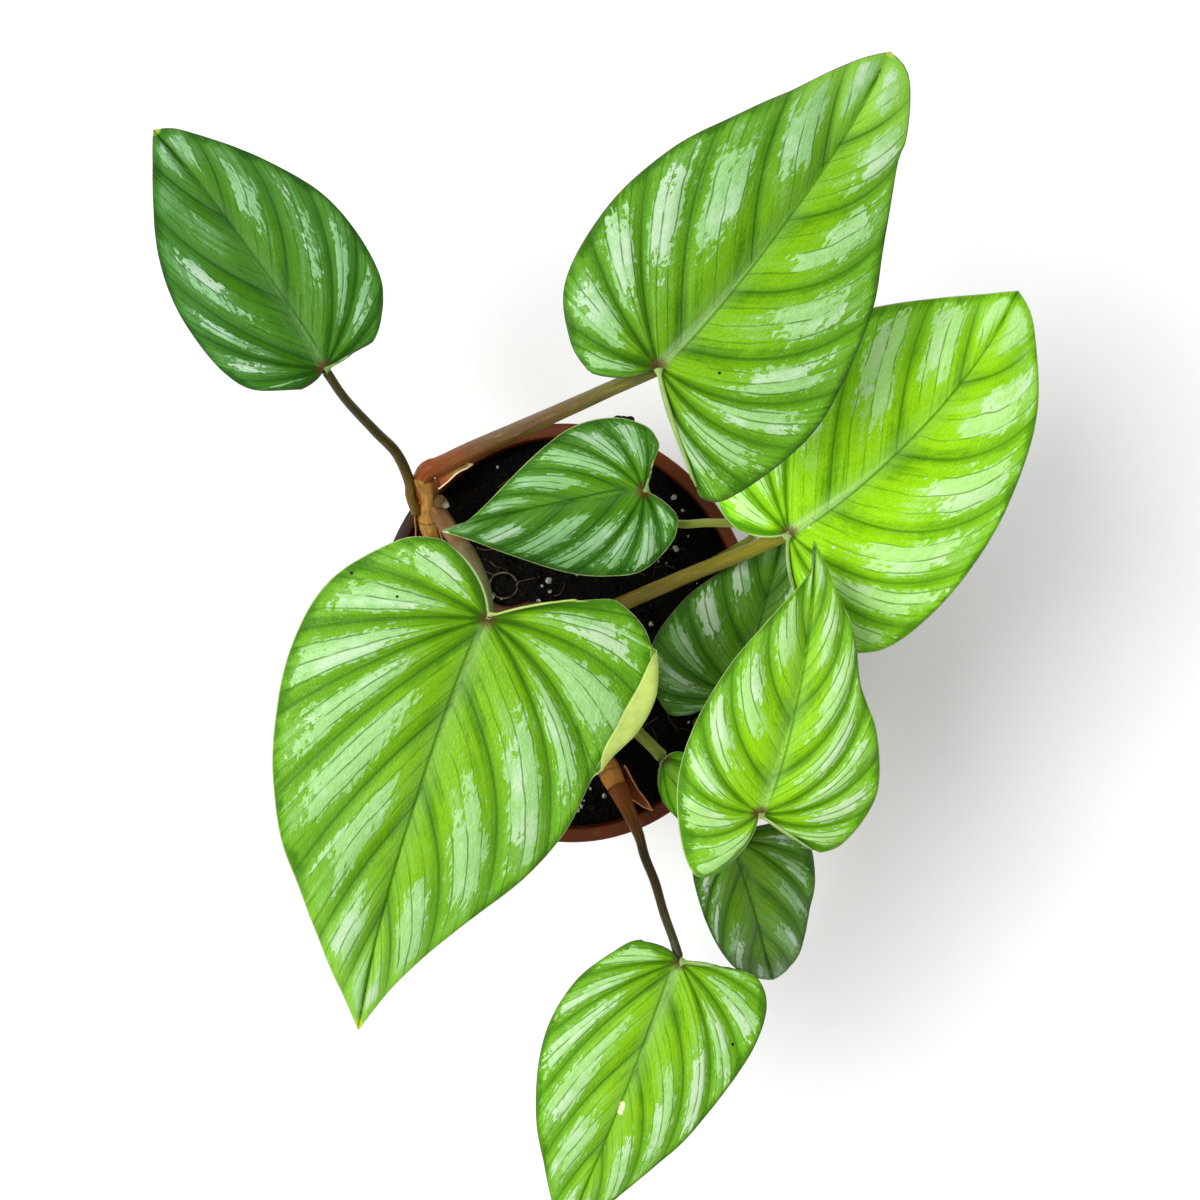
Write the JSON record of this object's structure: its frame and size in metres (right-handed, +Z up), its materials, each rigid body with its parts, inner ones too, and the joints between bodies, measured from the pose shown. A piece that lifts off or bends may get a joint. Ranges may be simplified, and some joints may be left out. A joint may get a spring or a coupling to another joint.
{
  "type": "potted foliage plant",
  "caption": "Young creeping houseplant with heart-shaped, silver-marbled leaves with sunken veins on arching stalks, standing in soil in a round plastic nursery pot.",
  "frame": {"origin": "centre of the pot's flat underside", "axes": "+Z up; seen from above, -Y towards the front leaf, +X towards the side where the leaves cover the rim"},
  "size_m": [0.2359, 0.3173, 0.2174],
  "materials": {
    "pot": "satin",
    "soil": "matte",
    "stem": "satin",
    "scale": "matte",
    "stalk": "satin",
    "blade_bright": "satin",
    "blade_green": "satin",
    "blade_dark": "satin"
  },
  "bodies": {
    "root": {"blade_back_left": "blade_green", "blade_back_right": "blade_green", "blade_centre": "blade_green", "blade_front": "blade_bright", "blade_front_left": "blade_bright", "blade_front_right": "blade_bright", "blade_low_front_right": "blade_dark", "blade_low_right": "blade_dark", "blade_right": "blade_bright", "blade_small": "blade_dark", "creeping_stem": "stem", "pot": "pot", "scale_back": "scale", "scale_cream": "scale", "scale_front": "scale", "soil": "soil", "stalk_back_left": "stalk", "stalk_back_right": "stalk", "stalk_centre": "stalk", "stalk_front": "stalk", "stalk_front_left": "stalk", "stalk_front_right": "stalk", "stalk_low_front_right": "stalk", "stalk_low_right": "stalk", "stalk_right": "stalk", "stalk_small": "stalk"}
  },
  "joints": []
}
